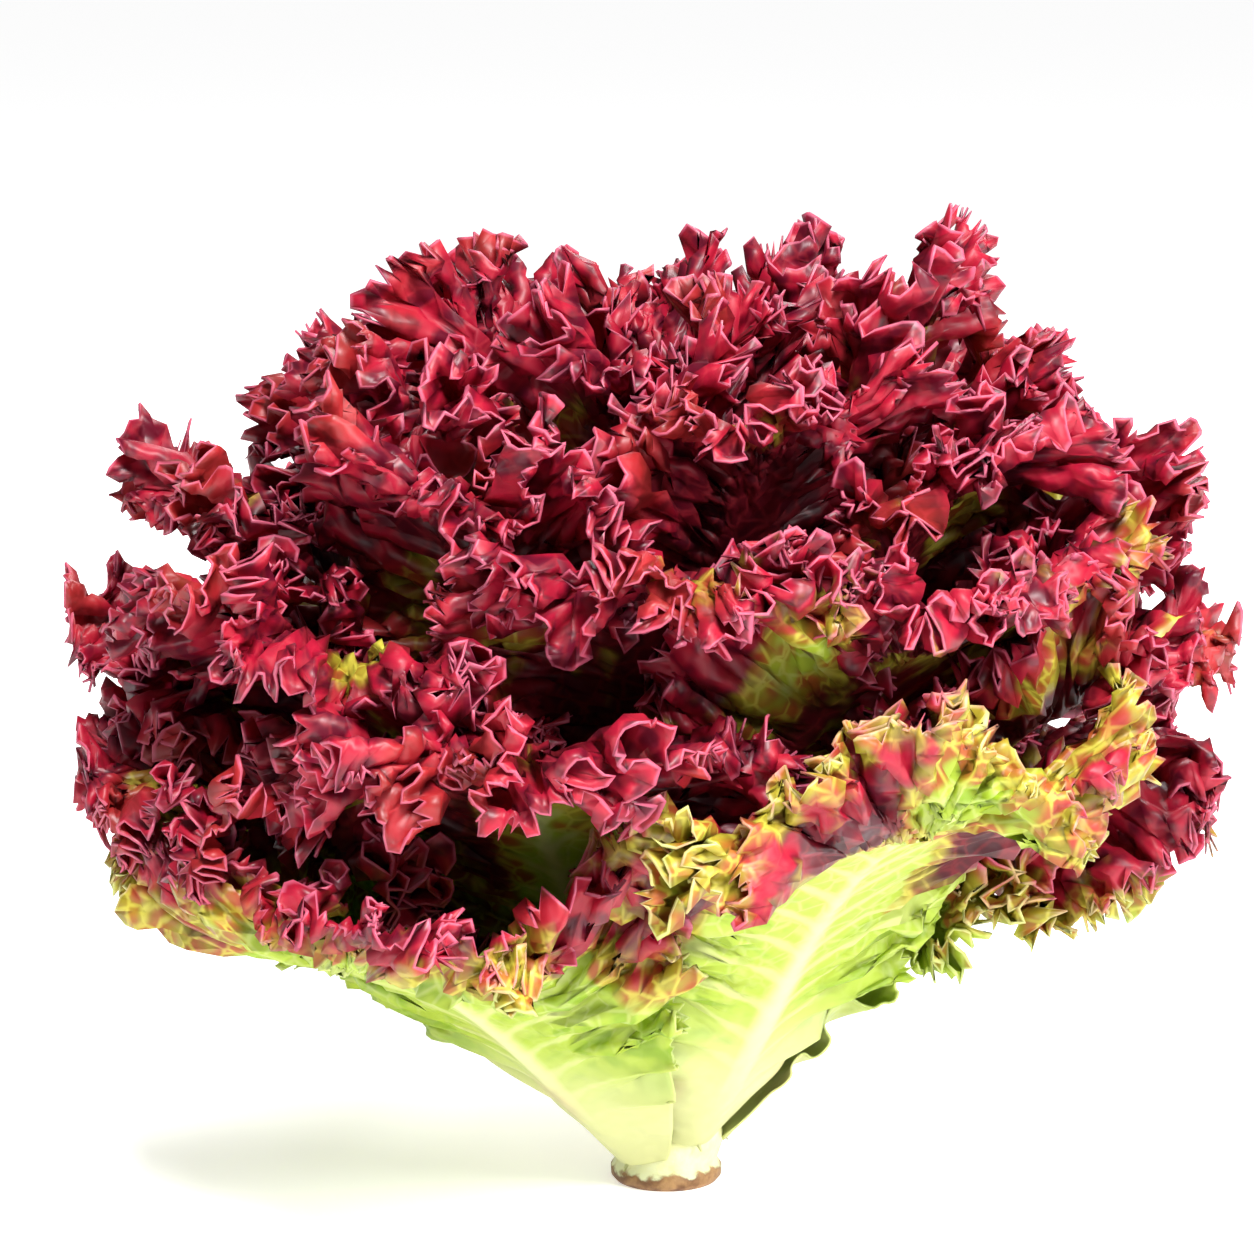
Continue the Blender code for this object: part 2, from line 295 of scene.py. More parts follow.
def mix(ends, share):
    """The value a share of the way between two ends."""
    return ends[0] + (ends[1] - ends[0]) * share


def smooth(share):
    """A share from 0 to 1, eased at both ends."""
    share = np.clip(share, 0.0, 1.0)
    return share * share * (3 - 2 * share)


def cubic(points, share):
    """A cubic Bezier curve from its first value to its last."""
    back = 1 - share
    first, second, third, last = points
    return (
        back**3 * first
        + 3 * back**2 * share * second
        + 3 * back * share**2 * third
        + share**3 * last
    )


def stem_radius(height):
    heights, radii = zip(*STEM_OUTLINE)
    return np.interp(height, heights, radii)


def middle_line(splay, along):
    """Radius and height of the middle line of a leaf at this splay, a share along it."""
    root_height = mix(ROOT_HEIGHT, splay)
    root_radius = stem_radius(root_height)
    from_top = mix(TIP_FROM_TOP, splay)
    out, up = np.sin(from_top), np.cos(from_top)
    tip_radius = DOME_RADIUS * np.abs(out) ** DOME_ROUNDNESS
    tip_height = DOME_CENTRE_HEIGHT + DOME_RISE * np.sign(up) * np.abs(up) ** DOME_ROUNDNESS
    handle = BEND * np.hypot(tip_radius - root_radius, tip_height - root_height)
    rise, arch = mix(ANGLE_AT_ROOT, splay), mix(ANGLE_AT_TIP, splay)
    radii = (
        root_radius,
        root_radius + handle * np.sin(rise),
        tip_radius - handle * np.sin(arch),
        tip_radius,
    )
    heights = (
        root_height,
        root_height + handle * np.cos(rise),
        tip_height - handle * np.cos(arch),
        tip_height,
    )
    return cubic(radii, along), cubic(heights, along)


def settle(points):
    """The lean and droop of the whole head, which leave the stem's foot where it is."""
    x, y, z = points[..., 0], points[..., 1], points[..., 2]
    share = smooth(z / LEAN_HEIGHT)
    return np.stack((x + LEAN * share, y, z + math.tan(LEFT_DROOP) * x * share), axis=-1)


def unit(vectors):
    length = np.linalg.norm(vectors, axis=-1, keepdims=True)
    return vectors / np.maximum(length, 1e-9)


def drift(draw, place, lengths):
    """A smooth random curve between about -1 and 1, made of waves of these lengths."""
    total = 0.0
    for length in lengths:
        total = total + np.sin(2 * math.pi * (place / length + draw.random()))
    return total / len(lengths)


def run_along(points):
    """Distance along a line of points, from its first."""
    steps = np.linalg.norm(np.diff(points, axis=0), axis=1)
    return np.concatenate(([0.0], np.cumsum(steps)))


class Leaf:
    """One leaf's place and size, from its number in the spiral, and its waved surface."""

    def __init__(self, number, draw):
        self.number = number
        self.splay = 1 - (number + 0.5) * SPLAY_STEP
        self.azimuth = FIRST_LEAF_TURN + number * TURN_PER_LEAF + NUDGED_TURN.get(number, 0.0)
        dip = HEART_DIP * (1 - smooth(self.splay / HEART_SPLAY))
        self.reach = (1 + draw.uniform(-1, 1) * LENGTH_SPREAD) * (1 - dip)
        self.swell_phase = draw.uniform(0, 2 * math.pi)
        self.lobe_phase = draw.uniform(0, 2 * math.pi)
        if number < OUTER_LEAVES:
            self.kind = 2
        elif number < LEAF_COUNT - HEART_LEAVES:
            self.kind = 1
        else:
            self.kind = 0
        self.folds = FOLDS_PER_HALF[self.kind]
        self.half = HALF_COLUMNS[self.kind]
        margin_points = 2 * self.folds + 1
        self.frill = draw.uniform(FRILL_LEAST, 1.0, margin_points)
        self.tooth = draw.uniform(TOOTH_LEAST, 1.0, margin_points)
        self.lay_out_margin()

    def lay_out_margin(self):
        """Half a margin in many small steps: its course, its side veins and its depth of fold."""
        self.places = np.linspace(0, 1, OUTLINE_SAMPLES)
        root, width = mix(ROOT_HALF_WIDTH, self.splay), mix(HALF_WIDTH, self.splay)
        near, far = SIDE_HANDLES
        sides = cubic((root, near * width, far * width, 0.0), self.places)
        self.alongs = cubic((0.0, *ALONG_HANDLES, 1.0), self.places) * self.reach
        radius, _ = middle_line(self.splay, self.alongs)
        turns = sides / radius
        limit = mix(FAN_LIMIT, self.splay)
        self.turns = turns / (1 + (turns / limit) ** FAN_SQUARENESS) ** (1 / FAN_SQUARENESS)
        line = self.surface(0 * self.places, self.places, self.splay)
        self.length = run_along(line)[-1]
        rise = VEIN_SLANT * self.turns * radius / self.length
        self.feet = np.maximum(self.alongs - rise, 0.0) * (1 - VEIN_CROWN * self.places**2)

        margin = self.surface(self.turns, self.alongs, self.splay)
        veins = margin - self.surface(0 * self.turns, self.feet, self.splay)
        self.vein_lengths = np.linalg.norm(veins, axis=1)
        steps = np.diff(margin, axis=0)
        self.run = run_along(margin)
        self.room = np.clip(self.vein_lengths / FULL_WAVE_VEIN, 0, 1)

        # A fold may be no deeper than the plain leaf's columns are apart.
        beside = np.linalg.norm(np.cross(unit(steps), unit(veins[1:])), axis=1)
        apart = beside * self.run[-1] / self.folds
        outside = self.surface(self.turns, self.alongs, self.splay + SPLAY_STEP)
        step_depth = np.linalg.norm(outside - margin, axis=1)[1:]
        deepest = np.minimum(FRILL_STEPS * step_depth, STEEPEST_FOLD * apart)
        self.fold_depths = np.concatenate((deepest[:1], deepest))

    def surface(self, turn, along, splay):
        """Points at a turn from the midrib and a share along, each at a splay of its own."""
        radius, height = middle_line(np.maximum(splay, 0.0), along)
        angle = self.azimuth + turn
        return np.stack((radius * np.cos(angle), radius * np.sin(angle), height), axis=-1)

    def waved(self, shares, settings, draw):
        """The folded middle surface at rows of these shares.

        Also gives each point's turn, its share along and its column's place on the margin.
        """
        run = np.linspace(0, 1, self.half + 1)
        run = np.concatenate((run, run[-2::-1]))[None, :]
        hand = np.concatenate((-np.ones(self.half), [0.0], np.ones(self.half)))[None, :]
        share = shares[:, None]
        place = np.interp(run * self.run[-1], self.run, self.places)
        grown = np.clip((share - WAVE_START) / (1 - WAVE_START), 0, 1) ** WAVE_GROWTH
        grown = grown * smooth((place - PLAIN_FOOT) / PLAIN_FADE)
        grown = grown * np.interp(place, self.places, self.room)
        column = np.where(hand <= 0, run, 2 - run) * self.folds
        wander = settings.fold_wander * drift(draw, column, FOLD_DRIFT)
        phase = math.pi * (self.folds * run + wander)
        turn = np.interp(place, self.places, self.turns) * share * hand
        foot = np.interp(place, self.places, self.feet)
        along = foot + (np.interp(place, self.places, self.alongs) - foot) * share
        round_leaf = 2 * math.pi * place * hand
        swell = np.cos(SWELLS_PER_HALF * round_leaf + self.swell_phase)
        lobe = np.cos(LOBES_PER_HALF * round_leaf + self.lobe_phase)
        tilt = np.clip(turn / TILT_WITHIN, -1, 1)
        depth = np.interp(column, np.arange(2 * self.folds + 1), self.frill)
        depth = depth * np.interp(place, self.places, self.fold_depths) * settings.fold_deepening
        tooth = np.interp(column, np.arange(2 * self.folds + 1), self.tooth)
        clump = settings.clump_steps * drift(draw, column / self.folds, CLUMP_DRIFT)
        wave = SWELL_STEPS * swell + CURL_STEPS + TILT_STEPS * tilt + clump
        turn = turn * (1 - TOOTH * tooth * grown * (1 - np.cos(phase)) / 2)
        uneven = settings.clump_reach * drift(draw, column / self.folds, REACH_DRIFT)
        along = along * (1 + (LOBE_REACH * lobe + uneven) * grown)
        points = self.surface(turn, along, self.splay + SPLAY_STEP * wave * grown)

        # The margin rolls, outwards on most leaves, and further in some clumps than in others.
        vein = np.interp(place, self.places, self.vein_lengths)
        rolled = np.clip(1 - (1 - share) * vein / settings.curl_reach, 0, 1)
        wander = drift(draw, column / self.folds, ROLL_DRIFT)
        curl = settings.curl * mix(ROLL_SHARE, self.splay) * (1 + settings.curl_spread * wander)
        turned = (curl + LEAF_ROLL.get(self.number, 0.0)) * rolled**ROLL_GROWTH
        turned = turned * smooth((along - ROLL_START) / ROLL_FADE)
        points = roll_outwards(points, turned, self.outward(turn))

        # The folds of the plain leaf, leaning over their neighbours.
        lift = grid_normals(points, self.outward(turn)) * (depth * grown * np.cos(phase))[..., None]
        sway = settings.fold_sway * np.sin(2 * phase) * grown
        lean = unit(np.gradient(points, axis=1)) * sway[..., None]
        return points + lift + lean, turn, along, place

    def outward(self, turn):
        """Level directions away from the stem at these turns."""
        angle = self.azimuth + turn
        return np.stack((np.cos(angle), np.sin(angle), 0 * angle), axis=-1)

    def rib(self, turn, along):
        """How much thicker than the blade the midrib makes the leaf there, in metres."""
        radius, _ = middle_line(self.splay, along)
        fade = np.clip(1 - along, 0, 1)
        width = mix(RIB_HALF_WIDTH, self.splay) * mix((RIB_TIP_SHARE, 1.0), fade)
        thickness = (mix(RIB_THICKNESS, self.splay) - BLADE_THICKNESS) * fade**RIB_TAPER
        return thickness * np.exp(-((turn * radius / width) ** 2))


def grid_normals(points, outward=None):
    """Unit normals of a grid of rows and columns, the midrib's two halves made alike."""
    normals = np.cross(np.gradient(points, axis=1), np.gradient(points, axis=0))
    normals[0] = normals[1] + normals[1][::-1]
    normals = unit(normals)
    if outward is not None and (normals[1] * outward[1]).sum() < 0:
        normals = -normals
    return normals


def eased(grid, passes):
    """The grid's values averaged with those of their neighbouring columns."""
    for _ in range(passes):
        inner = (grid[:, :-2] + 2 * grid[:, 1:-1] + grid[:, 2:]) / 4
        grid = np.concatenate((grid[:, :1], inner, grid[:, -1:]), axis=1)
    return grid


def close_gaps(points, widest, passes):
    """Draws columns together wherever waves have pulled neighbours far apart."""
    for _ in range(passes):
        gaps = np.linalg.norm(np.diff(points, axis=1), axis=-1)
        gaps = np.maximum(gaps[:, 1:], gaps[:, :-1]).max(axis=0)
        pull = GAP_PULL * np.clip(gaps / widest - 1, 0, 1)[None, :, None]
        middle = (points[:, 2:] + points[:, :-2]) / 2
        inner = points[:, 1:-1] * (1 - pull) + middle * pull
        points = np.concatenate((points[:, :1], inner, points[:, -1:]), axis=1)
    return points


def roll_outwards(points, turned, outward):
    """Each column's steps from row to row turned towards the outside by an angle."""
    steps = np.diff(points, axis=0)
    normals = grid_normals(points, outward)
    normals = unit(normals[1:] + normals[:-1])
    length = np.linalg.norm(steps, axis=-1, keepdims=True)
    angle = ((turned[1:] + turned[:-1]) / 2)[..., None]
    steps = length * (np.cos(angle) * unit(steps) + np.sin(angle) * normals)
    return np.concatenate((points[:1], points[0] + np.cumsum(steps, axis=0)))


def add_waves(points, distance, depth, length, growth, draw, sway):
    """The grid waved along its own normals, its phase even along the margin's true length.

    The waves lean over their neighbours by a share of their length, the sway. Also gives
    how far each point stands out of the sheet, from -1 to 1.
    """
    normals = unit(eased(grid_normals(points), NORMAL_PASSES))
    tangent = unit(eased(np.gradient(points, axis=1), NORMAL_PASSES))
    run = run_along(points[-1])
    wander = WAVE_WANDER * drift(draw, run, [length * part for part in WAVE_DRIFT])[None, :]
    for across, along in SLANTS:
        slanted = run[None, :] / (across * length) + distance / (along * length)
        wander = wander + SLANT_WANDER * np.sin(2 * math.pi * (slanted + draw.random()))
    phase = 2 * math.pi * (run[None, :] / length + wander)
    uneven = DEPTH_SPREAD * drift(draw, run, [length * part for part in DEPTH_DRIFT])
    deep = depth * (DEPTH_SHARE + uneven)[None, :]
    lift = normals * (deep * growth * np.cos(phase))[..., None]
    shift = tangent * (sway * length * growth * np.sin(2 * phase))[..., None]
    return points + lift + shift, np.cos(phase)


def cut_teeth(points, growth, draw):
    """The margin cut back into notches, with one column of each tooth left as its tip."""
    run = run_along(points[-1])
    wander = TOOTH_WANDER * drift(draw, run, [TOOTH_LENGTH * part for part in TOOTH_DRIFT])
    tooth = np.floor(run / TOOTH_LENGTH + wander)
    tip = np.concatenate(([True], tooth[1:] != tooth[:-1]))
    share = np.where(tip, -TIP_SHARE, draw.uniform(*NOTCH_SHARE, len(run))) * growth
    margin = points[-1] + (points[-2] - points[-1]) * share[:, None]
    return np.concatenate((points[:-1], margin[None]))


def strip(inner, outer):
    """Triangles between two rows, where the outer has as many steps or twice as many."""
    a, b = inner[:-1], inner[1:]
    if len(outer) == len(inner):
        c, d = outer[:-1], outer[1:]
        odd = (np.arange(len(a)) % 2 == 1)[:, None]
        one = np.where(odd, np.stack((a, d, c), 1), np.stack((a, b, c), 1))
        two = np.where(odd, np.stack((a, b, d), 1), np.stack((b, d, c), 1))
        faces = np.concatenate((one, two))
    else:
        c, d, e = outer[:-2:2], outer[1:-1:2], outer[2::2]
        faces = np.concatenate(
            (np.stack((a, d, c), 1), np.stack((a, b, d), 1), np.stack((b, e, d), 1))
        )
    same = (faces[:, 0] == faces[:, 1]) | (faces[:, 1] == faces[:, 2])
    return faces[~(same | (faces[:, 0] == faces[:, 2]))]


def vertex_normals(points, faces):
    """Mean normals, lengthened so that walls on a fold keep their thickness."""
    corners = points[faces]
    flat = unit(np.cross(corners[:, 1] - corners[:, 0], corners[:, 2] - corners[:, 0]))
    total = np.zeros_like(points)
    for corner in range(3):
        np.add.at(total, faces[:, corner], flat)
    total = unit(total)
    least = np.ones(len(points))
    for corner in range(3):
        facing = np.einsum("ij,ij->i", total[faces[:, corner]], flat)
        np.minimum.at(least, faces[:, corner], facing)
    return total / np.clip(least, LEAST_FACING, 1.0)[:, None]


def row_shares(leaf, typical_vein):
    """Shares of the way from the midrib, and the columns each row skips, midrib first."""
    rows = [(1 - distance / typical_vein, step) for distance, step in MARGIN_ROWS]
    rows = [(share, step) for share, step in rows if share > LEAST_MARGIN_SHARE]
    last, step = rows[-1]
    if step < INNER_COLUMN_STEP[leaf.kind]:
        step = max(step, LEAST_INNER_STEP)
    for place, share in enumerate(INNER_SHARES):
        wanted = INNER_COLUMN_STEP[leaf.kind] if place else step
        rows.append((last * share, wanted))
    shares, steps = zip(*reversed(rows))
    return np.array(shares), steps


def fine_leaf(leaf, settings):
    """Points, faces and point values of one fine leaf, closed at its margin and root."""
    draw = np.random.default_rng(FINE_SEED + leaf.number)
    shares, steps = row_shares(leaf, np.median(leaf.vein_lengths))
    points, turn, along, place = leaf.waved(shares, settings, draw)
    vein = np.interp(place, leaf.places, leaf.vein_lengths)
    distance = (1 - shares)[:, None] * vein
    height = along * leaf.length
    plain = smooth((place - RUFFLE_START) / RUFFLE_FADE)
    plain = plain * smooth((height - RUFFLE_FOOT) / RUFFLE_RISE)

    # The blade bulges a little between its side veins.
    run = np.interp(place, leaf.places, leaf.run)
    veins = run / settings.vein_gap
    gap = settings.vein_gap * mix((GAP_AT_RIB, 1.0), shares)[:, None]
    off_vein = np.abs(veins - np.floor(veins) - 0.5) * gap
    quilt = smooth(off_vein / (QUILT_RISE * gap)) * smooth(shares / QUILT_FROM_RIB)[:, None]
    quilt = quilt * smooth((height - QUILT_FOOT) / QUILT_FADE)
    points = points + grid_normals(points) * (settings.quilt_depth * quilt)[..., None]

    growth = np.clip(1 - distance / settings.ruffle_reach, 0, 1) ** RUFFLE_GROWTH * plain
    depth, length, sway = settings.ruffle_depth, settings.ruffle_length, settings.ruffle_sway
    points, stand = add_waves(points, distance, depth, length, growth, draw, sway)
    growth = np.clip(1 - distance / settings.cup_reach, 0, 1) ** CUP_GROWTH * plain
    depth, length, sway = settings.cup_depth, settings.cup_length, settings.cup_sway
    points, _ = add_waves(points, distance, depth, length, growth, draw, sway)

    # Lobes stand out where the ruffles do.
    outward = unit(points[-1] - points[-3])
    lobes = np.clip(1 - distance / settings.cup_reach, 0, 1) * plain
    reach = settings.lobe_depth * (np.abs(stand) - LOBE_STAND) * lobes
    points = points + outward[None] * reach[..., None]
    points = close_gaps(points, WIDEST_GAP, GAP_PASSES)
    points = cut_teeth(points, smooth((height[-1] - RUFFLE_FOOT) / RUFFLE_RISE), draw)

    ribs = leaf.rib(turn, along)
    ridge = settings.vein_ridge * np.exp(-((off_vein / settings.vein_width) ** 2))
    ridge = ridge * np.clip(distance / RIDGE_FROM_MARGIN, 0, 1)
    ridge = ridge * smooth(shares / RIDGE_FROM_RIB)[:, None]
    ridge = ridge * smooth((height - QUILT_FOOT) / QUILT_FADE)
    values = {
        "margin": distance,
        "rib": ribs / mix(RIB_THICKNESS, leaf.splay),
        "foot": height,
        "vein_run": veins,
        "vein_gap": gap,
    }
    return build_solid(leaf, points, ribs + ridge, values, steps, settings)


def hold_in(points):
    """Points far out from the axis, drawn part of the way back to the dome of the head."""
    radius = np.hypot(points[:, 0], points[:, 1])
    over = np.maximum(radius - HOLD_RADIUS, 0.0)
    share = 1 - HOLD_SHARE * over / np.maximum(radius, HOLD_RADIUS)
    return points * np.stack((share, share, np.ones_like(share)), axis=1)


def build_solid(leaf, points, thicker, values, steps, settings):
    """Thins the grid's inner rows, gives it two faces and closes its edge."""
    kept, index, count = [], [], 0
    columns = points.shape[1]
    for row, step in enumerate(steps):
        picks = np.arange(0, columns, step)
        if row == 0:
            # The midrib is one line, which both halves share.
            picks = picks[: len(picks) // 2 + 1]
            back = np.arange(len(picks) - 2, -1, -1)
            numbers = np.concatenate((np.arange(len(picks)), back))
        else:
            numbers = np.arange(len(picks))
        kept.append(row * columns + picks)
        index.append(numbers + count)
        count += len(picks)
    kept = np.concatenate(kept)
    faces = np.concatenate([strip(a, b) for a, b in zip(index, index[1:])])
    right = [row[-1] for row in index[1:]]
    left = [row[0] for row in index[1:]]
    loop = np.array(list(index[-1]) + right[-2::-1] + [index[0][0]] + left[:-1])
    middle = hold_in(points.reshape(-1, 3)[kept])
    outward = vertex_normals(middle, faces)
    away = np.array((math.cos(leaf.azimuth), math.sin(leaf.azimuth), 0.0))
    if outward[0] @ away < 0:
        outward = -outward
    half_wall = settings.wall / 2
    thicker = thicker.reshape(-1)[kept]
    outer = middle + outward * (half_wall + RIB_OUTSIDE * thicker)[:, None]
    inner = middle - outward * (half_wall + (1 - RIB_OUTSIDE) * thicker)[:, None]
    solid = settle(np.concatenate((outer, inner)))
    solid[:, 2] = np.maximum(solid[:, 2], settings.least_height)
    there = np.roll(loop, -1)
    across = np.stack((loop, there, loop + count), 1)
    back_across = np.stack((there, there + count, loop + count), 1)
    faces = np.concatenate((faces, faces[:, ::-1] + count, across, back_across))
    a, b, c = (solid[faces[:, corner]] for corner in range(3))
    if np.einsum("ij,ij->i", a, np.cross(b, c)).sum() < 0:
        faces = faces[:, ::-1]
    spread = {}
    for name, grid in values.items():
        grid = np.broadcast_to(grid, points.shape[:2]).reshape(-1)[kept]
        spread[name] = np.tile(grid, 2)
    return solid, faces, spread


def blush(leaf, values, points, draw):
    """How red each point is before the material's mottling: under 0 green, over 1 red.

    Light reddens a leaf high on the head and near its margin.
    """
    height, margin = points[:, 2], values["margin"]
    tone = LEAF_TONE.get(leaf.number, 0.0) + draw.uniform(-1, 1) * TONE_SPREAD
    by_height = (height - RED_HEIGHT - RED_HEIGHT_SLOPE * margin) / RED_HEIGHT_FADE
    reach = RED_REACH + RED_REACH_SLOPE * (height - RED_REACH_HEIGHT)
    by_margin = (reach - margin) / RED_REACH_FADE
    patchy = np.clip(values["patches"], -PATCH_LIMIT, PATCH_LIMIT)
    patchy = patchy * (PATCH_AT_MARGIN + smooth(margin / PATCH_RISE))
    fade = smooth((margin - PATCH_FADE_FROM) / PATCH_FADE_OVER)
    patchy = patchy * (1 - PATCH_FADE_SHARE * fade)
    redness = np.minimum(np.minimum(by_height, by_margin), REDDEST)
    return redness + tone + PATCH_WEIGHT * patchy


def patch_values(points):
    """Smooth random patches about 20 mm across, from about -1 to 1, anywhere in the head."""
    draw = np.random.default_rng(FINE_SEED)
    total = 0.0
    for _ in range(PATCH_WAVES):
        direction = unit(draw.normal(size=3))
        run = points @ direction / (PATCH_LENGTH * draw.uniform(*PATCH_SPREAD))
        total = total + np.sin(2 * math.pi * (run + draw.random()))
    return total / math.sqrt(PATCH_WAVES)


def mesh_from(name, points, faces, values):
    mesh = bpy.data.meshes.new(name)
    mesh.vertices.add(len(points))
    mesh.vertices.foreach_set("co", points.astype(np.float32).ravel())
    mesh.loops.add(3 * len(faces))
    mesh.loops.foreach_set("vertex_index", faces.astype(np.int32).ravel())
    mesh.polygons.add(len(faces))
    mesh.polygons.foreach_set("loop_start", np.arange(0, 3 * len(faces), 3, dtype=np.int32))
    mesh.update(calc_edges=True)
    mesh.validate()
    for key, value in values.items():
        layer = mesh.attributes.new(key, "FLOAT", "POINT")
        layer.data.foreach_set("value", value.astype(np.float32))
    mesh.shade_smooth()
    return mesh


class Value:
    """A shader socket. Arithmetic on it adds Math nodes to its material."""

    def __init__(self, recipe, socket):
        self.recipe = recipe
        self.socket = socket

    def math(self, operation, *values):
        inputs = dict(enumerate(values))
        return self.recipe.add("ShaderNodeMath", {"operation": operation}, inputs)

    def __add__(self, other):
        return self.math("ADD", self, other)

    def __radd__(self, other):
        return self.math("ADD", other, self)

    def __sub__(self, other):
        return self.math("SUBTRACT", self, other)

    def __rsub__(self, other):
        return self.math("SUBTRACT", other, self)

    def __mul__(self, other):
        return self.math("MULTIPLY", self, other)

    def __abs__(self):
        return self.math("ABSOLUTE", self)

    def fraction(self):
        return self.math("FRACT", self)

    def most(self, other):
        return self.math("MAXIMUM", self, other)

    def ramp(self, low, high):
        """0 below low, 1 above high and eased between."""
        inputs = {0: self, 1: low, 2: high, 3: 0.0, 4: 1.0}
        return self.recipe.add("ShaderNodeMapRange", {"interpolation_type": "SMOOTHSTEP"}, inputs)


class Recipe:
    """A material's node tree."""

    def __init__(self, name):
        self.material = bpy.data.materials.new(name)
        self.material.use_nodes = True
        self.tree = self.material.node_tree
        self.tree.nodes.clear()

    def add(self, kind, settings=None, inputs=None, output=0):
        """A node of one kind, its settings made first, then its sockets' values or links."""
        node = self.tree.nodes.new(kind)
        for name, setting in (settings or {}).items():
            setattr(node, name, setting)
        for key, value in (inputs or {}).items():
            if isinstance(value, Value):
                self.tree.links.new(value.socket, node.inputs[key])
            else:
                node.inputs[key].default_value = value
        return Value(self, node.outputs[output] if node.outputs else None)

    def blend(self, share, first, second):
        """A colour a share of the way from the first to the second."""
        colours = [c if isinstance(c, Value) else (*c, 1.0) for c in (first, second)]
        inputs = {0: share, 6: colours[0], 7: colours[1]}
        return self.add("ShaderNodeMix", {"data_type": "RGBA"}, inputs, output=2)

    def attribute(self, name):
        return self.add("ShaderNodeAttribute", {"attribute_name": name}, output=2)

    def noise(self, where, scale, detail):
        inputs = {"Vector": where, "Scale": scale, "Detail": detail}
        return self.add("ShaderNodeTexNoise", None, inputs)

    def net(self, where, scale, thin, wide):
        """Lines of a net of cells, 1 on a line and 0 inside a cell."""
        inputs = {"Vector": where, "Scale": scale, "Randomness": 1.0}
        edges = self.add("ShaderNodeTexVoronoi", {"feature": "DISTANCE_TO_EDGE"}, inputs)
        return 1 - edges.ramp(thin, wide)

    def bump(self, height, distance):
        inputs = {"Strength": BUMP_STRENGTH, "Distance": distance, "Height": height}
        return self.add("ShaderNodeBump", None, inputs)

    def glow(self, colour):
        """Light of one colour that passes through a thin sheet."""
        return self.add("ShaderNodeBsdfTranslucent", None, {"Color": (*colour, 1.0)})

    def finish(self, shader):
        self.add("ShaderNodeOutputMaterial", None, {"Surface": shader})
        return self.material


def leaf_material(colours):
    """Green blades that turn olive and then burgundy towards their frills, with net veins."""
    recipe = Recipe("lettuce_leaf")
    space = recipe.add("ShaderNodeTexCoord", output=3)
    red = recipe.attribute("blush")
    rib = recipe.attribute("rib")
    foot = recipe.attribute("foot")
    margin = recipe.attribute("margin")
    patches = recipe.attribute("patches")
    mottle = recipe.noise(space, MOTTLE_SCALE, 1.0)
    net = recipe.net(space, NET_SCALE, 0.01, 0.12)
    off_vein = abs(recipe.attribute("vein_run").fraction() - 0.5) * recipe.attribute("vein_gap")
    side_vein = 1 - (off_vein + (mottle - 0.5) * 0.0012).ramp(0.0002, 0.0013)
    side_vein = side_vein * margin.ramp(0.008, 0.030)

    red = red + (mottle - 0.5) * 0.9
    between = off_vein.ramp(0.0015, 0.0045) * mottle.ramp(0.40, 0.58)
    lime = recipe.blend(between, colours.lime, colours.leaf_green)
    pale = rib.ramp(0.08, 0.65).most(1 - foot.ramp(0.012, 0.062))
    green = recipe.blend(pale, lime, colours.rib)
    net_share = net * 0.5 * foot.ramp(0.045, 0.085)
    green = recipe.blend(side_vein.most(net_share) * 0.45, green, colours.rib)
    stain = patches.ramp(0.3, 0.9) * (1 - foot.ramp(0.03, 0.075)) * 0.4
    green = recipe.blend(stain, green, colours.stain)
    olive = recipe.blend(mottle.ramp(0.35, 0.65), colours.olive, colours.rust)
    olive = recipe.blend(net.most(side_vein) * 0.8, olive, colours.vein_olive)
    wine = recipe.blend(mottle.ramp(0.38, 0.60), colours.burgundy, colours.crimson)
    wine = recipe.blend((0 - patches).ramp(0.1, 1.1) * 0.55, wine, colours.brick)
    # Painted shade: the red is darkened towards near-black the further a point lies from its
    # margin, on the walls behind the frills, where shade falls.
    wine = recipe.blend(margin.ramp(0.010, 0.030) * 0.8, wine, colours.painted_shade)
    wine = recipe.blend(net * 0.25, wine, colours.vein_red)
    colour = recipe.blend(red.ramp(-0.25, 0.15), green, olive)
    colour = recipe.blend(red.ramp(0.30, 0.80), colour, wine)
    edge = recipe.blend(red.ramp(0.1, 0.7), colours.rim_green, colours.rim_pink)
    colour = recipe.blend((1 - margin.ramp(0.00005, 0.0004)) * 0.55, colour, edge)
    blisters = recipe.noise(space, GRAIN_SCALE, 0.0)
    body = recipe.add(
        "ShaderNodeBsdfPrincipled",
        None,
        {
            "Base Color": colour,
            "Roughness": 0.34 + mottle * 0.2,
            "Normal": recipe.bump(blisters, LEAF_BUMP),
            "Specular IOR Level": 0.42,
        },
    )
    green_glow = recipe.glow(colours.leaf_green)
    red_glow = recipe.glow(colours.glow)
    inputs = {0: red.ramp(0.1, 0.7), 1: green_glow, 2: red_glow}
    glow = recipe.add("ShaderNodeMixShader", None, inputs)
    inputs = {0: colours.glow_share, 1: body, 2: glow}
    return recipe.finish(recipe.add("ShaderNodeMixShader", None, inputs))


def stem_material(colours):
    """Whitish stem skin, browned at the cut rim."""
    recipe = Recipe("cut_stem")
    space = recipe.add("ShaderNodeTexCoord", output=3)
    height = recipe.add("ShaderNodeSeparateXYZ", None, {0: space}, output=2)
    mottle = recipe.noise(space, GRAIN_SCALE, 4.0)
    brown = (0.0046 + (mottle - 0.5) * 0.007 - height) * 700
    skin = recipe.blend(mottle.ramp(0.3, 0.7), colours.stem, colours.rib)
    rim = recipe.blend(mottle.ramp(0.35, 0.7), colours.cut_brown, colours.cut_tan)
    colour = recipe.blend(brown.ramp(0.0, 1.0), skin, rim)
    body = recipe.add(
        "ShaderNodeBsdfPrincipled",
        None,
        {
            "Base Color": colour,
            "Roughness": 0.4 + mottle * 0.3,
            "Normal": recipe.bump(mottle, STEM_BUMP),
        },
    )
    return recipe.finish(body)


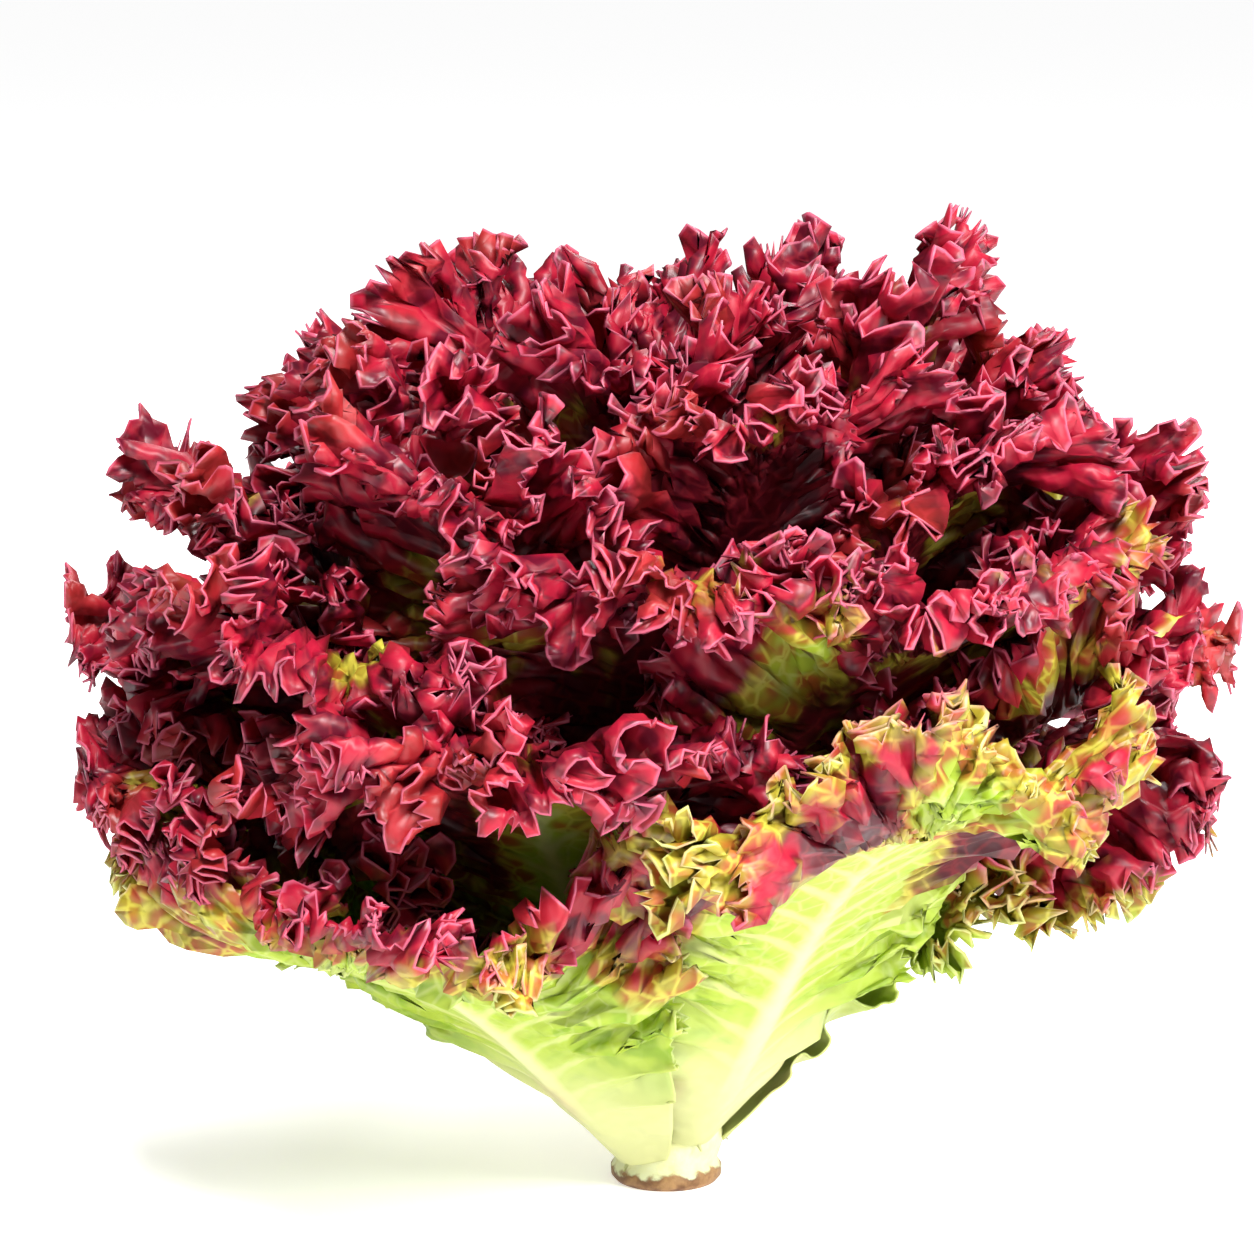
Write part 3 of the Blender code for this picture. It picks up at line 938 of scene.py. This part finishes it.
def floor_material(colours, glow):
    """Pale paper that glows, less so near the head, where the lamps light it."""
    recipe = Recipe("pale_floor")
    space = recipe.add("ShaderNodeTexCoord", output=3)
    away = recipe.add("ShaderNodeVectorMath", {"operation": "LENGTH"}, {0: space}, output=1)
    inputs = {
        "Base Color": (*colours.floor, 1.0),
        "Roughness": 0.8,
        "Specular IOR Level": 0.2,
        "Emission Color": recipe.blend(away.ramp(*GLOW_DISTANCES), NEAR_GREY, WHITE),
        "Emission Strength": glow,
    }
    return recipe.finish(recipe.add("ShaderNodeBsdfPrincipled", None, inputs))


def size_value(name, description, default):
    return bpy.props.FloatProperty(
        name=name, description=description, default=default, subtype="DISTANCE", precision=4
    )


def share_value(name, description, default):
    return bpy.props.FloatProperty(name=name, description=description, default=default)


def colour_value(name, description, default):
    return bpy.props.FloatVectorProperty(
        name=name, description=description, default=default, subtype="COLOR", min=0.0, max=1.0
    )


class LettuceLeafSettings(bpy.types.PropertyGroup):
    """Sizes of the fine leaves."""

    wall: size_value("Blade thickness", "Thickness of a blade away from its midrib", 0.0005)
    least_height: size_value("Least height", "How low a leaf may hang", 0.0004)
    fold_sway: size_value("Fold sway", "How far a fold leans over its neighbour", 0.0020)
    fold_deepening: share_value("Fold depth", "Depth of folds against the plain leaf's", 1.2)
    fold_wander: share_value("Fold wander", "How unevenly the folds follow each other", 0.6)
    clump_steps: share_value("Clumps", "How far the margin wanders, in steps of splay", 1.2)
    clump_reach: share_value("Clump reach", "How unevenly long the leaf is round its margin", 0.06)
    curl: share_value("Curl", "How far the margin rolls outwards, in radians", 0.6)
    curl_spread: share_value("Curl spread", "How unevenly the margin rolls", 1.4)
    curl_reach: size_value("Curl reach", "How far in from the margin the roll starts", 0.0360)
    vein_gap: size_value("Vein gap", "How far apart side veins meet the margin", 0.0150)
    vein_ridge: size_value("Vein ridge", "How far side veins stand out", 0.0007)
    vein_width: size_value("Vein width", "Half the width of a side vein", 0.0009)
    quilt_depth: size_value("Quilting", "How far the blade bulges between veins", 0.0008)
    ruffle_depth: size_value("Ruffle depth", "Depth of the ruffles on the folds", 0.0056)
    ruffle_length: size_value("Ruffle length", "Length of one ruffle along the margin", 0.0105)
    ruffle_reach: size_value("Ruffle reach", "How far in from the margin ruffles reach", 0.0460)
    ruffle_sway: share_value("Ruffle sway", "How far ruffles lean, by their length", 0.13)
    cup_depth: size_value("Cup depth", "Depth of the small cups on the ruffles", 0.0017)
    cup_length: size_value("Cup length", "Length of one cup along the margin", 0.0080)
    cup_reach: size_value("Cup reach", "How far in from the margin cups reach", 0.0170)
    cup_sway: share_value("Cup sway", "How far cups lean, by their length", 0.05)
    lobe_depth: size_value("Lobe depth", "How far lobes stand out of the margin", 0.0024)


class LettuceColourSettings(bpy.types.PropertyGroup):
    """Colours of the leaves and the stem."""

    lime: colour_value("Lime", "Light yellow-green of a lower blade", (0.38, 0.50, 0.035))
    leaf_green: colour_value("Leaf green", "Fuller green of a blade", (0.24, 0.38, 0.010))
    rib: colour_value("Rib", "Near-white of the midribs", (0.74, 0.74, 0.36))
    stain: colour_value("Stain", "Pink bruises on the foot of a rib", (0.66, 0.36, 0.26))
    olive: colour_value("Olive", "Blade between green and red", (0.32, 0.26, 0.02))
    rust: colour_value("Rust", "Orange-brown blade between green and red", (0.36, 0.09, 0.015))
    vein_olive: colour_value("Yellow vein", "Veins on olive blades", (0.56, 0.50, 0.06))
    burgundy: colour_value("Burgundy", "Dark red of the frills", (0.10, 0.002, 0.014))
    crimson: colour_value("Crimson", "Bright red of the frills", (0.34, 0.004, 0.024))
    brick: colour_value("Brick", "Orange-red of some frills", (0.31, 0.022, 0.010))
    # Painted shade: near-black red painted on the walls behind the frills, where shade falls.
    painted_shade: colour_value("Shade", "Dark red of the walls behind the frills", (0.035, 0.001, 0.004))
    glow: colour_value("Glow", "Light that passes through a frill", (0.60, 0.012, 0.05))
    vein_red: colour_value("Red vein", "Veins on red blades", (0.42, 0.03, 0.04))
    rim_pink: colour_value("Pink rim", "Thin edge of a red frill", (0.62, 0.13, 0.22))
    rim_green: colour_value("Pale rim", "Thin edge of a green frill", (0.72, 0.80, 0.30))
    stem: colour_value("Stem", "Skin of the cut stem", (0.74, 0.77, 0.50))
    cut_brown: colour_value("Cut brown", "Dark brown of the cut rim", (0.16, 0.06, 0.02))
    cut_tan: colour_value("Cut tan", "Light brown of the cut rim", (0.42, 0.23, 0.10))
    floor: colour_value("Floor", "Pale floor", (0.92, 0.92, 0.92))
    glow_share: share_value("Glow share", "How much of the light passes through a leaf", 0.22)


class LettuceStageSettings(bpy.types.PropertyGroup):
    """Camera, lights and floor."""

    lens: bpy.props.FloatProperty(
        name="Lens", description="Focal length in millimetres", default=120.0
    )
    elevation: bpy.props.FloatProperty(
        name="Camera elevation",
        description="Angle of the camera above the horizon",
        default=math.radians(10),
        subtype="ANGLE",
    )
    frame_width: size_value("Frame width", "Width that the picture covers at the head", 0.301)
    aim_side: size_value("Aim sideways", "Where the camera aims along X", -0.0096)
    aim_height: size_value("Aim height", "Where the camera aims above the floor", 0.137)
    floor_radius: size_value("Floor radius", "Radius of the round floor", 20.0)
    floor_glow: share_value("Floor glow", "Light that the floor gives off", 0.78)
    sky: share_value("Sky", "Strength of the even light from all round", 0.20)
    backdrop: share_value("Backdrop", "Brightness of the sky behind the head", 1.0)


def deselect_all():
    for item in bpy.context.selected_objects:
        item.select_set(False)


class LETTUCE_OT_add_leaves(bpy.types.Operator):
    """Add a fine frilled leaf in place of each plain one"""

    bl_idname = "lettuce.add_leaves"
    bl_label = "Add Leaves"

    def execute(self, context):
        settings = context.scene.lettuce_leaves
        colours = context.scene.lettuce_colours
        material = leaf_material(colours)
        draw = np.random.default_rng(SEED)
        tones = np.random.default_rng(FINE_SEED)
        for number in range(LEAF_COUNT):
            leaf = Leaf(number, draw)
            node = f"leaf_{number + 1:02d}"
            points, faces, values = fine_leaf(leaf, settings)
            values["patches"] = patch_values(points)
            values["blush"] = blush(leaf, values, points, tones)
            mesh = mesh_from(f"frilled_{node}", points, faces, values)
            mesh.materials.append(material)
            piece = bpy.data.objects.new(f"frilled_{node}", mesh)
            context.scene.collection.objects.link(piece)
            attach(piece, "root")
            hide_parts(node)
        return {"FINISHED"}


class LETTUCE_OT_add_stem(bpy.types.Operator):
    """Add the cut stem"""

    bl_idname = "lettuce.add_stem"
    bl_label = "Add Stem"

    def execute(self, context):
        deselect_all()
        low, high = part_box("stem")
        foot_height, foot_radius = STEM_OUTLINE[0]
        bpy.ops.mesh.primitive_circle_add(
            vertices=STEM_SIDES, radius=foot_radius, fill_type="NGON", location=(0.0, 0.0, low[2])
        )
        piece = context.object
        piece.name = "cut_stem_skin"
        bpy.ops.object.transform_apply(location=True, rotation=True, scale=True)
        bpy.ops.object.mode_set(mode="EDIT")
        bpy.ops.mesh.select_all(action="SELECT")
        height, radius = foot_height, foot_radius
        for next_height, next_radius in STEM_OUTLINE[1:-1]:
            bpy.ops.mesh.extrude_region_move(
                TRANSFORM_OT_translate={"value": (0.0, 0.0, next_height - height)}
            )
            ratio = next_radius / radius
            bpy.ops.transform.resize(
                value=(ratio, ratio, 1.0), center_override=(0.0, 0.0, next_height)
            )
            height, radius = next_height, next_radius
        bpy.ops.mesh.select_all(action="SELECT")
        bpy.ops.mesh.normals_make_consistent(inside=False)
        bpy.ops.object.mode_set(mode="OBJECT")
        piece.data.shade_smooth()
        piece.data.materials.append(stem_material(context.scene.lettuce_colours))
        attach(piece, "root")
        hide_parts("stem")
        return {"FINISHED"}


class LETTUCE_OT_add_stage(bpy.types.Operator):
    """Add the pale floor, the soft lights and the camera"""

    bl_idname = "lettuce.add_stage"
    bl_label = "Add Stage"

    def execute(self, context):
        settings = context.scene.lettuce_stage
        colours = context.scene.lettuce_colours
        deselect_all()
        bpy.ops.mesh.primitive_circle_add(
            vertices=FLOOR_SIDES, radius=settings.floor_radius, fill_type="NGON"
        )
        floor = context.object
        floor.name = "pale_floor"
        floor.data.materials.append(floor_material(colours, settings.floor_glow))
        floor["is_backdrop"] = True
        for name, place, size, power in LAMPS:
            self.add_light(context, name, place, size, power)
        context.scene.view_settings.view_transform = "Standard"
        self.light_sky(context, settings)
        self.add_camera(context, settings)
        return {"FINISHED"}

    def light_sky(self, context, settings):
        """An even sky, white to the camera and dimmer to the leaves."""
        world = context.scene.world or bpy.data.worlds.new("studio")
        context.scene.world = world
        world.use_nodes = True
        tree = world.node_tree
        background = tree.nodes["Background"]
        background.inputs["Color"].default_value = (*WHITE, 1.0)
        paths = tree.nodes.new("ShaderNodeLightPath")
        spread = tree.nodes.new("ShaderNodeMapRange")
        spread.inputs["To Min"].default_value = settings.sky
        spread.inputs["To Max"].default_value = settings.backdrop
        tree.links.new(paths.outputs["Is Camera Ray"], spread.inputs["Value"])
        tree.links.new(spread.outputs["Result"], background.inputs["Strength"])

    def add_light(self, context, name, place, size, power):
        lamp = bpy.data.lights.new(name, "AREA")
        lamp.size = size
        lamp.energy = power
        made = bpy.data.objects.new(name, lamp)
        made.location = place
        aim = np.array(LAMP_AIM) - np.array(place)
        made.rotation_euler = direction_turn(aim)
        context.scene.collection.objects.link(made)

    def add_camera(self, context, settings):
        camera = bpy.data.cameras.new("front_camera")
        camera.lens = settings.lens
        camera.clip_start = 0.01
        distance = settings.frame_width * settings.lens / camera.sensor_width
        back = np.array((0.0, -math.cos(settings.elevation), math.sin(settings.elevation)))
        aim = np.array((settings.aim_side, 0.0, settings.aim_height))
        made = bpy.data.objects.new("front_camera", camera)
        made.location = aim + back * distance
        made.rotation_euler = direction_turn(-back)
        context.scene.collection.objects.link(made)
        context.scene.camera = made


def direction_turn(direction):
    """Euler angles that turn a lamp or camera from looking down to looking this way."""
    x, y, z = direction / np.linalg.norm(direction)
    return (math.acos(-z), 0.0, math.atan2(-x, y))


class LETTUCE_PT_sidebar(bpy.types.Panel):
    """The lettuce's settings and the buttons that build it"""

    bl_idname = "LETTUCE_PT_sidebar"
    bl_label = "Red Leaf Lettuce"
    bl_space_type = "VIEW_3D"
    bl_region_type = "UI"
    bl_category = "Lettuce"

    def draw(self, context):
        layout = self.layout
        for group in ("lettuce_leaves", "lettuce_colours", "lettuce_stage"):
            settings = getattr(context.scene, group)
            box = layout.box()
            for name in settings.__annotations__:
                box.prop(settings, name)
        for operator in (LETTUCE_OT_add_leaves, LETTUCE_OT_add_stem, LETTUCE_OT_add_stage):
            layout.operator(operator.bl_idname)


CLASSES = (
    LettuceLeafSettings,
    LettuceColourSettings,
    LettuceStageSettings,
    LETTUCE_OT_add_leaves,
    LETTUCE_OT_add_stem,
    LETTUCE_OT_add_stage,
    LETTUCE_PT_sidebar,
)


def register():
    for item in CLASSES:
        bpy.utils.register_class(item)
    scene = bpy.types.Scene
    scene.lettuce_leaves = bpy.props.PointerProperty(type=LettuceLeafSettings)
    scene.lettuce_colours = bpy.props.PointerProperty(type=LettuceColourSettings)
    scene.lettuce_stage = bpy.props.PointerProperty(type=LettuceStageSettings)


def unregister():
    del bpy.types.Scene.lettuce_stage
    del bpy.types.Scene.lettuce_colours
    del bpy.types.Scene.lettuce_leaves
    for item in reversed(CLASSES):
        bpy.utils.unregister_class(item)


def main():
    register()
    bpy.ops.lettuce.add_leaves()
    bpy.ops.lettuce.add_stem()
    bpy.ops.lettuce.add_stage()
    sizes = {"cad": CAD_BOX, "visual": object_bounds()}
    sizes = {name: [list(corner) for corner in box] for name, box in sizes.items()}


if __name__ == "__main__":
    main()
